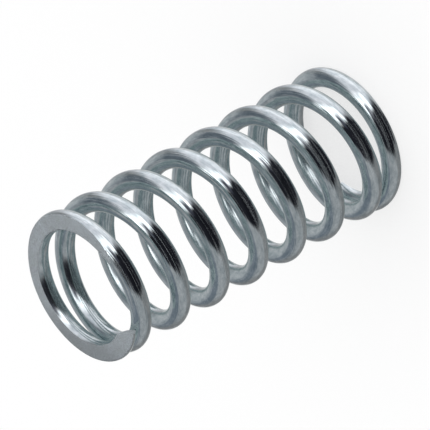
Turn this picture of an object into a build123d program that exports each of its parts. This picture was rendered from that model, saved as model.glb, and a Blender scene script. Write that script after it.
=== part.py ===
from build123d import *
from math import cos, pi, radians, sin, tan
import os

# A clutch spring: one right-hand compression coil of round wire, its end turns closed and ground flat.
# It stands on its lower ground face at z = 0 with the coil's axis on +Z. Sizes are in millimetres.

# Wire and coil
wire_diameter = 2.0
coil_outside_diameter = 15.8
free_length = 35.9
total_turns = 8.25
lower_tip_angle = 127

# Closing of the end turns, counted in turns from each tip. The end turn lies nearly flat for the
# closed turns, and then the pitch grows smoothly to the full pitch over the blend turns.
lower_closed_turns = 0.58
lower_blend_turns = 0.4
upper_closed_turns = 0.55
upper_blend_turns = 0.6

# Tips. The second turn rests on each tip and presses it outwards over the set turns, and grinding
# leaves the tip thin. The crop leans across the wire, by the same angle and the same way at both ends.
tip_thickness = 0.79
tip_set = 0.7
tip_set_turns = 0.22
tip_gap = 0.05
crop_angle = 38

# Upper ground face. Its springy tip stood back from the grinding wheel and rose again afterwards, so
# the rest of the face lies lower: it falls away from a line across the coil, in the direction given.
upper_fall_angle = 2.75
upper_fall_direction = -32.5
upper_fall_start = -1.0

# Drawing aids: centreline points per turn, and how far a crop's wedge reaches past the wire's end
points_per_turn = 24
crop_overrun = 0.5

wire_radius = wire_diameter / 2
mean_radius = (coil_outside_diameter - wire_diameter) / 2
tip_height = tip_thickness - wire_radius
closed_height = tip_height + tip_set


def ramp_area(x):
    # Area under a smooth ramp that climbs from 0 to 1 between x = 0 and x = 1
    climbed = min(max(x, 0), 1)
    return climbed**3 - climbed**4 / 2 + max(x - 1, 0)


def first_turn_share(closed_turns, blend_turns):
    # How much of a full pitch the wire has gained one turn in from its tip
    return blend_turns * ramp_area((1 - closed_turns) / blend_turns)


def turns_lost(closed_turns, blend_turns):
    # Turns that closing one end takes from the length wound at full pitch
    return (closed_turns + blend_turns / 2) / (1 - first_turn_share(closed_turns, blend_turns))


def closed_pitch(closed_turns, blend_turns):
    # Pitch of the closed turn that leaves the second turn just clear of the tip
    share = first_turn_share(closed_turns, blend_turns)
    return (wire_diameter + tip_gap - tip_set - pitch * share) / (1 - share)


# The full pitch is what brings both ends out at the free length
lost = turns_lost(lower_closed_turns, lower_blend_turns) + turns_lost(upper_closed_turns, upper_blend_turns)
ends_height = 2 * closed_height + (wire_diameter + tip_gap - tip_set) * lost
pitch = (free_length - ends_height) / (total_turns - lost)


def height(turns, closed_turns, blend_turns):
    # Height of the wire's centre over the ground face, at so many turns from that face's tip
    start = closed_pitch(closed_turns, blend_turns)
    blended = (pitch - start) * blend_turns * ramp_area((turns - closed_turns) / blend_turns)
    pressed = tip_set * max(1 - turns / tip_set_turns, 0) ** 2
    return closed_height + start * turns + blended - pressed


def wire_centre(turns):
    # Point on the wire's centreline, at so many turns from the lower tip
    if turns < total_turns / 2:
        z = height(turns, lower_closed_turns, lower_blend_turns)
    else:
        z = free_length - height(total_turns - turns, upper_closed_turns, upper_blend_turns)
    angle = radians(lower_tip_angle) + 2 * pi * turns
    return Vector(mean_radius * cos(angle), mean_radius * sin(angle), z)


def tip_plane(turns, z):
    # Level plane over a tip: X outwards across the wire, Y along the wire, up the coil
    point = wire_centre(turns)
    return Plane(origin=(point.X, point.Y, z), x_dir=(point.X, point.Y, 0), z_dir=(0, 0, 1))


def falling_plane():
    # The lower part of the upper ground face
    direction = radians(upper_fall_direction)
    away = Vector(cos(direction), sin(direction), 0)
    lean = radians(upper_fall_angle)
    start = away * upper_fall_start
    return Plane(origin=(start.X, start.Y, free_length), z_dir=away * sin(lean) + Vector(0, 0, cos(lean)))


def crop_wedge(side):
    # Waste beyond the slanting cut. On the upper tip (side 1) the wire is longest at its outside,
    # and on the lower tip (side -1) at its inside, as on springs cropped off one after another.
    slope = tan(radians(crop_angle))
    corner = (side * (wire_radius + crop_overrun / slope), side * crop_overrun)
    across = (-side * wire_diameter, side * crop_overrun)
    back = (-side * wire_diameter, -side * (wire_diameter + wire_radius) * slope)
    return Polyline(corner, across, back, close=True)


with BuildPart() as clutch_spring:
    steps = round(total_turns * points_per_turn)
    with BuildLine() as centreline:
        Spline(*[wire_centre(total_turns * step / steps) for step in range(steps + 1)])
    with BuildSketch(Plane(centreline.line @ 0, z_dir=centreline.line % 0)):
        Circle(wire_radius)
    sweep(is_frenet=True)

    # Ground faces
    split(bisect_by=Plane.XY, keep=Keep.TOP)
    split(bisect_by=Plane.XY.offset(free_length), keep=Keep.BOTTOM)
    split(bisect_by=falling_plane(), keep=Keep.BOTTOM)

    # Cropped tips, cut no deeper than halfway through the gap to the second turn
    crop_depth = tip_thickness + tip_gap / 2
    with BuildSketch(tip_plane(0, 0)):
        with BuildLine():
            crop_wedge(-1)
        make_face()
    extrude(amount=crop_depth, mode=Mode.SUBTRACT)
    with BuildSketch(tip_plane(total_turns, free_length)):
        with BuildLine():
            crop_wedge(1)
        make_face()
    extrude(amount=-crop_depth, mode=Mode.SUBTRACT)

clutch_spring.part.label = "clutch_spring"

os.makedirs("parts", exist_ok=True)
export_step(clutch_spring.part, "parts/clutch_spring.step")

wire_length = centreline.edges()[0].length
print("pitch", round(pitch, 3), "mm, wire", round(wire_length, 1), "mm")
print("closed pitch, lower", round(closed_pitch(lower_closed_turns, lower_blend_turns), 3))
print("closed pitch, upper", round(closed_pitch(upper_closed_turns, upper_blend_turns), 3))
print("volume", round(clutch_spring.part.volume, 1), "of", round(wire_length * pi * wire_radius**2, 1))
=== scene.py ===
from math import cos, pi, radians, sin, tan

import bmesh
import bpy
from mathutils import Matrix, Vector


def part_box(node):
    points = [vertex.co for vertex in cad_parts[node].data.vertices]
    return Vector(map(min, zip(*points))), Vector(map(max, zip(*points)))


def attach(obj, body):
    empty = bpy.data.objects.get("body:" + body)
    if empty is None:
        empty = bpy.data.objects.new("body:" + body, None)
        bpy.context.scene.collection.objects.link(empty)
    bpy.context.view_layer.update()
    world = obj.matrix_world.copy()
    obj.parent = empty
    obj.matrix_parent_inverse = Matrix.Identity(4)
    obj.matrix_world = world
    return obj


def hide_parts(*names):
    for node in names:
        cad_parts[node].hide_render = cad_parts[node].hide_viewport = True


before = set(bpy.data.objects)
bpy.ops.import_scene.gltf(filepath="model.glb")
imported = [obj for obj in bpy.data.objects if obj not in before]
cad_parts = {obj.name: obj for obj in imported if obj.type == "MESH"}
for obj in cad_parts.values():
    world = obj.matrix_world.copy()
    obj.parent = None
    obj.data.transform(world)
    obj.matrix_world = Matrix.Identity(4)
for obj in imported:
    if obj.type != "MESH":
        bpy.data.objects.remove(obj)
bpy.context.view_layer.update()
mm = 0.001
low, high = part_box("clutch_spring")
print("frame loaded")


# Colours and nodes

plainWhite = (1, 1, 1, 1)


def hexToLinear(code):
    channels = [int(code[i:i + 2], 16) / 255 for i in (1, 3, 5)]
    linear = [c / 12.92 if c <= 0.04045 else ((c + 0.055) / 1.055) ** 2.4 for c in channels]
    return (*linear, 1)


def addNode(tree, kind, inputs=None, **settings):
    node = tree.nodes.new(kind)
    for name, value in settings.items():
        setattr(node, name, value)
    for name, value in (inputs or {}).items():
        if isinstance(value, bpy.types.NodeSocket):
            tree.links.new(value, node.inputs[name])
        else:
            node.inputs[name].default_value = value
    return node


def newMaterial(name):
    material = bpy.data.materials.new(name)
    material.use_nodes = True
    material.node_tree.nodes.clear()
    return material


# The spring: a round wire wound to the same centreline as the CAD coil

spring = {
    "wireDiameter": 2.0 * mm,
    "turns": 8.25,
    "lowerTip": 127,                # degrees from +X
    "lowerClosed": 0.58,            # turns from the tip before the pitch opens
    "lowerBlend": 0.4,              # turns over which it opens
    "upperClosed": 0.55,
    "upperBlend": 0.6,
    "tipThickness": 0.79 * mm,
    "tipSet": 0.7 * mm,             # how far the second turn presses the tip outwards
    "tipSetTurns": 0.22,
    "tipGap": 0.05 * mm,
    "cropAngle": 38,                # lean of the cropped ends
    "cropReach": 0.1,               # turns next to a tip that its crop may cut
    "fallAngle": 2.75,              # the upper ground face falls away by this from the tip's half,
    "fallDirection": -32.5,         # this way,
    "fallStart": -1.0 * mm,         # from a line this far along it from the coil's axis
    "tipBreak": 0.16 * mm,          # rounding of the thin edge where a crop meets a ground face
    "tipBreakSteps": 2,
    "stepsPerTurn": 120,
    "wireFacets": 48,
    "copyTurns": 0.75,              # the wire is wound in copies of this many turns
    "weld": 0.001 * mm,             # corners closer than this are one
    "cutTolerance": 1e-5 * mm,
    "crispAngle": 25,               # edges bent by more degrees than this stay crisp
}
groundSlot, croppedSlot = 1, 2      # material slots; the drawn wire is slot 0
wireRadius = spring["wireDiameter"] / 2
freeLength = high.z
meanRadius = (high.x - low.x) / 2 - wireRadius
tipHeight = spring["tipThickness"] - wireRadius
closedHeight = tipHeight + spring["tipSet"]
turnRise = spring["wireDiameter"] + spring["tipGap"] - spring["tipSet"]
turnLength = 2 * pi * meanRadius


def rampArea(x):                            # under a smooth ramp from 0 to 1
    climbed = min(max(x, 0), 1)
    return climbed**3 - climbed**4 / 2 + max(x - 1, 0)


def firstTurnShare(closed, blend):          # of a full pitch, gained one turn in from the tip
    return blend * rampArea((1 - closed) / blend)


def turnsLost(closed, blend):               # by closing one end, from the length at full pitch
    return (closed + blend / 2) / (1 - firstTurnShare(closed, blend))


ends = {side: (spring[side + "Closed"], spring[side + "Blend"]) for side in ("lower", "upper")}
lost = turnsLost(*ends["lower"]) + turnsLost(*ends["upper"])
pitch = (freeLength - 2 * closedHeight - turnRise * lost) / (spring["turns"] - lost)


def heightOver(turns, closed, blend):       # of the centreline, over the ground face it starts from
    share = firstTurnShare(closed, blend)
    start = (turnRise - pitch * share) / (1 - share)
    opened = (pitch - start) * blend * rampArea((turns - closed) / blend)
    pressed = spring["tipSet"] * max(1 - turns / spring["tipSetTurns"], 0) ** 2
    return closedHeight + start * turns + opened - pressed


def centreAt(turns):
    if turns < spring["turns"] / 2:
        z = heightOver(turns, *ends["lower"])
    else:
        z = freeLength - heightOver(spring["turns"] - turns, *ends["upper"])
    angle = radians(spring["lowerTip"]) + 2 * pi * turns
    return Vector((meanRadius * cos(angle), meanRadius * sin(angle), z))


def onWire(turns, side, rise):              # a point of the wire's section, upright on the centreline
    centre = centreAt(turns)
    nearby = 0.001                          # turns, to either side, for the wire's direction
    ahead = (centreAt(turns + nearby) - centreAt(turns - nearby)).normalized()
    outwards = Vector((centre.x, centre.y, 0)).normalized()
    return centre + outwards * side + ahead.cross(outwards) * -rise


def windWire(bm):
    # A level part turn is spun from a circle, and copies of it are drawn up to the coil's heights.
    # The spin climbs a little, so that a corner's height tells how far along the wire it lies.
    copyTurns, climb = spring["copyTurns"], mm
    part = bmesh.new()
    section = part.verts.layers.float_vector.new("wireSpace")
    ring = bmesh.ops.create_circle(part, segments=spring["wireFacets"], radius=wireRadius,
                                   matrix=Matrix.Rotation(pi / 2, 4, "X"))["verts"]
    for vert in ring:
        vert[section] = (vert.co.x, vert.co.z, 0)
    bmesh.ops.translate(part, verts=ring, vec=(meanRadius, 0, 0))
    steps = round(copyTurns * spring["stepsPerTurn"])
    bmesh.ops.spin(part, geom=part.verts[:] + part.edges[:], cent=(0, 0, 0), axis=(0, 0, 1),
                   angle=copyTurns * 2 * pi, dvec=(0, 0, climb / steps), steps=steps)
    for vert in part.verts:
        side, rise = vert[section].xy
        vert[section] = (side, rise, copyTurns * (vert.co.z - rise) / climb)
    mesh = bpy.data.meshes.new("partTurn")
    part.to_mesh(mesh)
    part.free()
    for copy in range(round(spring["turns"] / copyTurns)):
        done = len(bm.verts)
        bm.from_mesh(mesh)
        bm.verts.ensure_lookup_table()
        section = bm.verts.layers.float_vector["wireSpace"]
        for vert in bm.verts[done:]:
            side, rise, turns = vert[section]
            turns += copyTurns * copy
            vert.co = onWire(turns, side, rise)
            vert[section] = (side, rise, turns * turnLength)      # the wire as if it were straight
    bpy.data.meshes.remove(mesh)
    bmesh.ops.remove_doubles(bm, verts=bm.verts, dist=spring["weld"])
    bmesh.ops.holes_fill(bm, edges=bm.edges, sides=0)
    bmesh.ops.recalc_face_normals(bm, faces=bm.faces)
    print("wire wound")


def nearEnd(bm, fromTurn, toTurn):
    # Geometry of a stretch of the wire, for a cut that must not reach the turn beside it
    wireSpace = bm.verts.layers.float_vector["wireSpace"]
    verts = [vert for vert in bm.verts if fromTurn <= vert[wireSpace][2] / turnLength <= toTurn]
    inside = set(verts)
    edges = [edge for edge in bm.edges if all(vert in inside for vert in edge.verts)]
    faces = [face for face in bm.faces if all(vert in inside for vert in face.verts)]
    return verts + edges + faces


def cutAndCap(bm, geometry, point, normal, materialSlot):
    bmesh.ops.bisect_plane(bm, geom=geometry, dist=spring["cutTolerance"],
                           plane_co=point, plane_no=normal, clear_outer=True)
    rim = [edge for edge in bm.edges if edge.is_boundary]
    cap = bmesh.ops.holes_fill(bm, edges=rim, sides=0)["faces"]
    for face in cap:
        face.material_index = materialSlot


def cropEnds(bm):
    # The cropped ends lean across the wire, the same way at both tips
    lean = radians(spring["cropAngle"])
    last, near = spring["turns"], spring["cropReach"]
    for tipTurn, inwards, fromTurn, toTurn in ((0, 1, -1, near), (last, -1, last - near, last + 1)):
        tip = centreAt(tipTurn)
        outwards = Vector((tip.x, tip.y, 0)).normalized()
        forward = Vector((-outwards.y, outwards.x, 0)) * inwards
        corner = tip + forward * (wireRadius * tan(lean))
        normal = outwards * (sin(lean) * inwards) - forward * cos(lean)
        cutAndCap(bm, nearEnd(bm, fromTurn, toTurn), corner, normal, croppedSlot)
    print("ends cropped")


def grindEnds(bm):
    last, top = spring["turns"], Vector((0, 0, freeLength))
    direction, fall = radians(spring["fallDirection"]), radians(spring["fallAngle"])
    away = Vector((cos(direction), sin(direction), 0))
    crease = away * spring["fallStart"] + top
    falling = away * sin(fall) + Vector((0, 0, cos(fall)))
    cutAndCap(bm, nearEnd(bm, -1, 1), (0, 0, 0), (0, 0, -1), groundSlot)
    cutAndCap(bm, nearEnd(bm, last - 1, last + 1), top, (0, 0, 1), groundSlot)
    cutAndCap(bm, nearEnd(bm, last - 1, last + 1), crease, falling, groundSlot)
    # The wheel's burr at the tips' thin edges is broken by the tumbling
    thinEdges = [edge for edge in bm.edges
                 if {face.material_index for face in edge.link_faces} == {groundSlot, croppedSlot}]
    bmesh.ops.bevel(bm, geom=thinEdges, offset=spring["tipBreak"], offset_type="OFFSET",
                    segments=spring["tipBreakSteps"], profile=0.5, affect="EDGES",
                    clamp_overlap=True, material=-1)
    bmesh.ops.dissolve_degenerate(bm, dist=spring["weld"], edges=bm.edges)
    # The flat faces in even triangles, so that each run shades them alike
    flats = [face for face in bm.faces if len(face.verts) > 4]
    bmesh.ops.triangulate(bm, faces=flats, quad_method="BEAUTY", ngon_method="BEAUTY")
    print("ends ground, open edges:", sum(not edge.is_manifold for edge in bm.edges))


def makeSpring():
    bm = bmesh.new()
    windWire(bm)
    cropEnds(bm)
    grindEnds(bm)
    for face in bm.faces:
        face.smooth = True
    for edge in bm.edges:
        edge.smooth = edge.calc_face_angle(0) < radians(spring["crispAngle"])
    mesh = bpy.data.meshes.new("springCoil")
    bm.to_mesh(mesh)
    bm.free()
    coil = bpy.data.objects.new("springCoil", mesh)
    bpy.context.scene.collection.objects.link(coil)
    return coil


# Drawn steel wire with bright zinc plating: a mirror-like metal, cool in colour, whose die lines
# run along the wire and stretch its reflections

drawnZinc = {
    "colour": "#e2e9ec",
    "tint": "#bac6cb",
    # Width, length and noise detail of each pattern's marks. Real die lines are finer: these are as
    # coarse as can show.
    "dieLine": (0.12 * mm, 9 * mm, 1),
    "splinter": (0.2 * mm, 5 * mm, 1),      # shallow grooves, which break up the edges of reflections
    "mottle": (0.4 * mm, 0.9 * mm, 4),
    "fineShare": 0.6,                       # how much each finer layer of a pattern counts
    "blotch": (0.35, 0.7),                  # between these values of the mottle, the tint takes over
    "burnish": (0.54, 0.63),                # between these of the die lines, burnished lines begin
    "rubbed": (-0.4, 0.3),                  # in radii across the wire, from sheltered to rubbed
    "splinterDepth": 0.037 * mm,
    "innerDepth": 0.01,                     # share of that depth inside the coil, which no tool rubs
    "roughness": (0.04, 0.16),              # of the plain wire, and of its burnished lines
    "innerRoughness": 0.19,
    "metallic": (1, 0.87),                  # likewise: the burnished lines scatter a little light
}


def drawnZincMaterial():
    material = newMaterial("drawnWireBrightZinc")
    tree = material.node_tree
    place = addNode(tree, "ShaderNodeAttribute", attribute_name="wireSpace").outputs["Vector"]
    marks = {}
    for name in ("dieLine", "splinter", "mottle"):
        across, along, detail = drawnZinc[name]
        stretched = addNode(tree, "ShaderNodeMapping", {
            "Vector": place, "Scale": (1 / across, 1 / across, 1 / along)})
        marks[name] = addNode(tree, "ShaderNodeTexNoise", {
            "Vector": stretched.outputs["Vector"], "Scale": 1, "Detail": detail,
            "Roughness": drawnZinc["fineShare"]}).outputs["Fac"]
    start, end = drawnZinc["blotch"]
    blotches = addNode(tree, "ShaderNodeMapRange", {
        "Value": marks["mottle"], "From Min": start, "From Max": end})
    colour = addNode(tree, "ShaderNodeMix", {
        "Factor": blotches.outputs["Result"], "A": hexToLinear(drawnZinc["colour"]),
        "B": hexToLinear(drawnZinc["tint"])}, data_type="RGBA")
    side = addNode(tree, "ShaderNodeSeparateXYZ", {"Vector": place}).outputs["X"]
    start, end = drawnZinc["rubbed"]
    rubbed = addNode(tree, "ShaderNodeMapRange", {
        "Value": side, "From Min": start * wireRadius, "From Max": end * wireRadius}).outputs["Result"]
    start, end = drawnZinc["burnish"]
    finish = {}
    for name, inner in (("roughness", drawnZinc["innerRoughness"]), ("metallic", 1)):
        plain, burnished = drawnZinc[name]
        outer = addNode(tree, "ShaderNodeMapRange", {
            "Value": marks["dieLine"], "From Min": start, "From Max": end,
            "To Min": plain, "To Max": burnished})
        finish[name] = addNode(tree, "ShaderNodeMapRange", {
            "Value": rubbed, "To Min": inner, "To Max": outer.outputs["Result"]}).outputs["Result"]
    depth = addNode(tree, "ShaderNodeMapRange", {
        "Value": rubbed, "To Min": drawnZinc["innerDepth"], "To Max": 1})
    grooves = addNode(tree, "ShaderNodeBump", {
        "Height": marks["splinter"], "Strength": depth.outputs["Result"],
        "Distance": drawnZinc["splinterDepth"]})
    shader = addNode(tree, "ShaderNodeBsdfPrincipled", {
        "Base Color": colour.outputs["Result"], "Metallic": finish["metallic"],
        "Roughness": finish["roughness"], "Normal": grooves.outputs["Normal"]})
    addNode(tree, "ShaderNodeOutputMaterial", {"Surface": shader.outputs["BSDF"]})
    return material


# Zinc over a ground face: the wheel's fine scratches leave it matte and even, and its rims are
# rounded and burnished by the tumbling before the plating

groundZinc = {
    "colour": "#e7eef3",
    "greenish": "#d3dcd8",
    "mauve": "#d4d5dc",
    # Size and noise detail of each pattern's marks
    "cloud": (1.1 * mm, 3),
    "cast": (0.5 * mm, 2),
    "grit": (0.12 * mm, 1),         # real grit marks are finer: these are as coarse as can show
    "gritContrast": (0.3, 0.7),
    "gritShade": 0.15,              # share of light that the grit takes
    "paintedShadeAngle": 140,               # towards this angle the face's colour is darkened, a painted shade,
    "paintedShade": (4 * mm, 6.5 * mm),     # from and to this far from the axis,
    "paintedShadeShare": 0.78,              # down to this share of its light
    "roughness": 0.75,
    "metallic": 0.85,               # the matte film over the scratches scatters a little
    "rimRoughness": 0.18,
    "rim": 0.12 * mm,               # width of the burnished rim
    "rimDepth": 0.07 * mm,
    "ragged": 0.25 * mm,            # how far the grit shifts the rim, in and out
}


def groundZincMaterial(name, rims=True):
    material = newMaterial(name)
    tree = material.node_tree
    place = addNode(tree, "ShaderNodeTexCoord").outputs["Object"]
    marks = {}
    for pattern in ("cloud", "cast", "grit"):
        size, detail = groundZinc[pattern]
        marks[pattern] = addNode(tree, "ShaderNodeTexNoise", {
            "Vector": place, "Scale": 1 / size, "Detail": detail}).outputs["Fac"]
    cast = addNode(tree, "ShaderNodeMix", {
        "Factor": marks["cast"], "A": hexToLinear(groundZinc["greenish"]),
        "B": hexToLinear(groundZinc["mauve"])}, data_type="RGBA")
    colour = addNode(tree, "ShaderNodeMix", {
        "Factor": marks["cloud"], "A": hexToLinear(groundZinc["colour"]),
        "B": cast.outputs["Result"]}, data_type="RGBA")
    start, end = groundZinc["gritContrast"]
    shade = addNode(tree, "ShaderNodeMapRange", {
        "Value": marks["grit"], "From Min": start, "From Max": end,
        "To Min": 1 - 2 * groundZinc["gritShade"], "To Max": 1})
    # Painted shade: the face's colour is darkened towards one side
    angle = radians(groundZinc["paintedShadeAngle"])
    along = addNode(tree, "ShaderNodeVectorMath", {
        0: place, 1: (cos(angle), sin(angle), 0)}, operation="DOT_PRODUCT")
    start, end = groundZinc["paintedShade"]
    paintedShade = addNode(tree, "ShaderNodeMapRange", {
        "Value": along.outputs["Value"], "From Min": start, "From Max": end,
        "To Min": 1, "To Max": groundZinc["paintedShadeShare"]})
    # The grit's grain, times the painted shade
    light = addNode(tree, "ShaderNodeMath", {
        0: shade.outputs["Result"], 1: paintedShade.outputs["Result"]}, operation="MULTIPLY")
    speckled = addNode(tree, "ShaderNodeVectorMath", {
        0: colour.outputs["Result"], "Scale": light.outputs["Value"]}, operation="SCALE")
    inputs = {"Base Color": speckled.outputs["Vector"], "Metallic": groundZinc["metallic"],
              "Roughness": groundZinc["roughness"]}
    if rims:
        # How far a point of the face lies in from its rim, on the wire's round section
        flat = addNode(tree, "ShaderNodeVectorMath", {0: place, 1: (1, 1, 0)}, operation="MULTIPLY")
        radius = addNode(tree, "ShaderNodeVectorMath", {0: flat.outputs["Vector"]}, operation="LENGTH")
        side = addNode(tree, "ShaderNodeMath", {
            0: radius.outputs["Value"], 1: meanRadius}, operation="SUBTRACT")
        aside = addNode(tree, "ShaderNodeMath", {0: side.outputs["Value"]}, operation="ABSOLUTE")
        wireSpace = addNode(tree, "ShaderNodeAttribute", attribute_name="wireSpace").outputs["Vector"]
        rise = addNode(tree, "ShaderNodeSeparateXYZ", {"Vector": wireSpace}).outputs["Y"]
        square = addNode(tree, "ShaderNodeMath", {0: rise, 1: rise}, operation="MULTIPLY")
        rest = addNode(tree, "ShaderNodeMath", {
            0: wireRadius**2, 1: square.outputs["Value"]}, operation="SUBTRACT")
        halfWidth = addNode(tree, "ShaderNodeMath", {0: rest.outputs["Value"]}, operation="SQRT")
        clear = addNode(tree, "ShaderNodeMath", {
            0: halfWidth.outputs["Value"], 1: aside.outputs["Value"]}, operation="SUBTRACT")
        inset = addNode(tree, "ShaderNodeMath", {       # ragged, as the burr is
            0: marks["grit"], 1: groundZinc["ragged"], 2: clear.outputs["Value"]},
            operation="MULTIPLY_ADD")
        edge = 0.5 * groundZinc["ragged"]               # where grit of middle height puts it
        level = addNode(tree, "ShaderNodeMapRange", {
            "Value": inset.outputs["Value"], "From Min": edge, "From Max": edge + groundZinc["rim"]},
            interpolation_type="SMOOTHSTEP")
        rough = addNode(tree, "ShaderNodeMapRange", {
            "Value": level.outputs["Result"], "To Min": groundZinc["rimRoughness"],
            "To Max": groundZinc["roughness"]})
        rounded = addNode(tree, "ShaderNodeBump", {
            "Height": level.outputs["Result"], "Strength": 1, "Distance": groundZinc["rimDepth"]})
        inputs["Roughness"] = rough.outputs["Result"]
        inputs["Normal"] = rounded.outputs["Normal"]
    shader = addNode(tree, "ShaderNodeBsdfPrincipled", inputs)
    addNode(tree, "ShaderNodeOutputMaterial", {"Surface": shader.outputs["BSDF"]})
    return material


coil = makeSpring()
coil.data.materials.append(drawnZincMaterial())
coil.data.materials.append(groundZincMaterial("groundEndZinc"))
coil.data.materials.append(groundZincMaterial("croppedTipZinc", rims=False))
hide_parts("clutch_spring")
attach(coil, "root")
print("spring made:", len(coil.data.polygons), "faces")


# The camera, turned on its side as the photograph lays the standing coil down

view = {
    "elevation": 32.7,              # degrees above the floor
    "roll": -119.43,
    "distance": 520 * mm,
    "sensor": 36,                   # millimetres, as Blender counts it
    "clip": (0.01, 10),
    "wirePixels": 20.355,           # the wire's width in the 430 pixel frame,
    "middle": (215.75, 211.93),     # and where the coil's middle lands in it
    "frame": 430,
}


def makeCamera():
    data = bpy.data.cameras.new("camera")
    data.sensor_width = view["sensor"]
    data.clip_start, data.clip_end = view["clip"]
    pixelsPerMetre = view["wirePixels"] / spring["wireDiameter"]
    data.lens = view["sensor"] * pixelsPerMetre * view["distance"] / view["frame"]
    camera = bpy.data.objects.new("camera", data)
    bpy.context.scene.collection.objects.link(camera)
    tilt = Matrix.Rotation(radians(90 - view["elevation"]), 4, "X")
    turned = tilt @ Matrix.Rotation(radians(view["roll"]), 4, "Z")
    right, up, back = (turned.col[i].to_3d() for i in range(3))
    aside = (view["frame"] / 2 - view["middle"][0]) / pixelsPerMetre
    above = (view["middle"][1] - view["frame"] / 2) / pixelsPerMetre
    place = Vector((0, 0, freeLength / 2)) + back * view["distance"] + right * aside + up * above
    camera.matrix_world = Matrix.Translation(place) @ turned
    bpy.context.scene.camera = camera
    return right, up, back


right, up, back = makeCamera()
bpy.context.scene.view_settings.view_transform = "Standard"
print("camera placed")


# Studio: a pale floor in plain light, and the soft lamps and cards that the metal reflects

studio = {
    "plain": 1.0,                   # what any matt surface receives, so that its colour renders as written
    "surround": 0.25,               # what the metal reflects where no lamp or card is
    # Level, tint and share of the calmer light that reaches the turns off each other
    "between": (0.45, "#eef8f5", 0.92),
    # Each lamp or card: its level and tint, and the circles it lies inside, as turn, lift, radius and
    # softness in degrees. From the camera, turn 90 is to the upper right and lift 90 to the upper left.
    "panels": {
        "paleCardBelow": (0.4, "#fbfdff", [(-80, -55, 45, 10)]),
        "slateCardLeft": (0.24, "#e2f0ff", [(-95, 10, 45, 12)]),
        "slateCardAbove": (0.18, "#e2f0ff", [(-90, 55, 25, 12)]),
        "paleGapLeft": (0.36, "#fbfdff", [(-90, 16, 14, 14)]),
        "glowLeft": (0.5, "#fafdff", [(-145, 34, 24, 14)]),
        "clothAbove": (0.87, "#fbfaff", [(60, 80, 75, 6), (60, -30, 120, 14)]),
        "stripLamp": (1.8, "#ffffff", [(-2, 30, 41, 14), (-10, -60, 100, 11), (0, 90, 64, 4)]),
        "smallLampLeft": (2.2, "#ffffff", [(-50, 20, 14, 7)]),
        "smallLampRight": (2, "#ffffff", [(28, 20, 15, 7)]),
        "blackFlag": (0.022, "#e2e4ff", [(-150, -85, 106, 6), (41, 40, 98, 6)]),
        "blackCardBelow": (0.014, "#e2e4ff", [(32, -30, 29, 12)]),
        "blackNotch": (0.1, "#e2e4ff", [(-8, 14, 9, 5)]),
        "boxRight": (1.15, "#fdfcff", [(105, 38, 28, 14)]),
        "boxFarRight": (0.68, "#ffffff", [(138, 14, 26, 5)]),
        "lampBehind": (0.7, "#ffffff", [(-176, 3, 15, 12)]),
    },
}


def studioDirection(turn, lift):
    pole = (up - right).normalized()
    aside = (up + right).normalized()
    turn, lift = radians(turn), radians(lift)
    return (back * cos(turn) + aside * sin(turn)) * cos(lift) + pole * sin(lift)


def lampColour(level, tint):
    return [level * channel for channel in hexToLinear(tint)]


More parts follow.
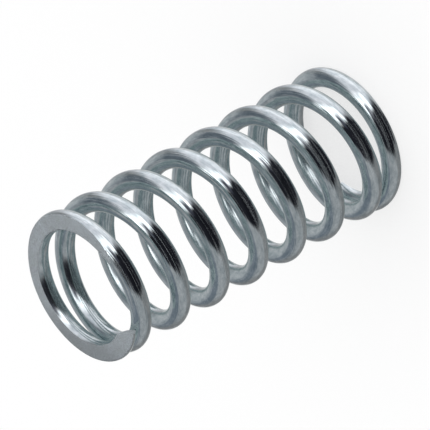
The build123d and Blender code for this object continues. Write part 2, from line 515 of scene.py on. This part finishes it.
def makeStudio():
    world = bpy.data.worlds.new("studio")
    bpy.context.scene.world = world
    world.use_nodes = True
    tree = world.node_tree
    tree.nodes.clear()
    direction = addNode(tree, "ShaderNodeTexCoord").outputs["Generated"]
    light = (*[studio["surround"]] * 3, 1)
    for level, tint, circles in studio["panels"].values():
        mask = 1
        for turn, lift, radius, softness in circles:
            facing = addNode(tree, "ShaderNodeVectorMath", {
                0: direction, 1: studioDirection(turn, lift)}, operation="DOT_PRODUCT")
            circle = addNode(tree, "ShaderNodeMapRange", {
                "Value": facing.outputs["Value"], "From Min": cos(radians(radius + softness)),
                "From Max": cos(radians(max(radius - softness, 0)))}, interpolation_type="SMOOTHSTEP")
            mask = addNode(tree, "ShaderNodeMath", {
                0: mask, 1: circle.outputs["Result"]}, operation="MULTIPLY").outputs["Value"]
        light = addNode(tree, "ShaderNodeMix", {
            "Factor": mask, "A": light, "B": lampColour(level, tint)}, data_type="RGBA").outputs["Result"]
    rays = addNode(tree, "ShaderNodeLightPath").outputs
    level, tint, share = studio["between"]
    deeper = addNode(tree, "ShaderNodeMapRange", {
        "Value": rays["Glossy Depth"], "From Min": 1, "From Max": 2, "To Max": share})
    light = addNode(tree, "ShaderNodeMix", {
        "Factor": deeper.outputs["Result"], "A": light, "B": lampColour(level, tint)},
        data_type="RGBA").outputs["Result"]
    reflected = addNode(tree, "ShaderNodeBackground", {"Color": light, "Strength": 1})
    plain = addNode(tree, "ShaderNodeBackground", {"Color": plainWhite, "Strength": studio["plain"]})
    white = addNode(tree, "ShaderNodeBackground", {"Color": plainWhite, "Strength": 1})
    lit = addNode(tree, "ShaderNodeMixShader", {
        0: rays["Is Diffuse Ray"], 1: reflected.outputs["Background"], 2: plain.outputs["Background"]})
    seen = addNode(tree, "ShaderNodeMixShader", {
        0: rays["Is Camera Ray"], 1: lit.outputs["Shader"], 2: white.outputs["Background"]})
    addNode(tree, "ShaderNodeOutputWorld", {"Surface": seen.outputs["Shader"]})


# The floor: a third of its white is painted, and so keeps the spring's shadow. The rest shows to the
# camera alone.

paleFloor = {
    "radius": 1500 * mm,
    "facets": 128,
    "paint": 0.33,
    "glow": 0.67,
}


def makeFloor():
    bm = bmesh.new()
    bmesh.ops.create_circle(bm, cap_ends=True, segments=paleFloor["facets"], radius=paleFloor["radius"])
    mesh = bpy.data.meshes.new("floor")
    bm.to_mesh(mesh)
    bm.free()
    floor = bpy.data.objects.new("floor", mesh)
    bpy.context.scene.collection.objects.link(floor)
    material = newMaterial("paleFloor")
    tree = material.node_tree
    toCamera = addNode(tree, "ShaderNodeLightPath").outputs["Is Camera Ray"]
    shown = addNode(tree, "ShaderNodeMath", {0: toCamera, 1: paleFloor["glow"]}, operation="MULTIPLY")
    painted = addNode(tree, "ShaderNodeBsdfDiffuse", {"Color": (*[paleFloor["paint"]] * 3, 1)})
    glow = addNode(tree, "ShaderNodeEmission", {"Color": plainWhite, "Strength": shown.outputs["Value"]})
    shader = addNode(tree, "ShaderNodeAddShader", {
        0: painted.outputs["BSDF"], 1: glow.outputs["Emission"]})
    addNode(tree, "ShaderNodeOutputMaterial", {"Surface": shader.outputs["Shader"]})
    mesh.materials.append(material)
    floor.visible_glossy = False


makeStudio()
makeFloor()
print("studio made")
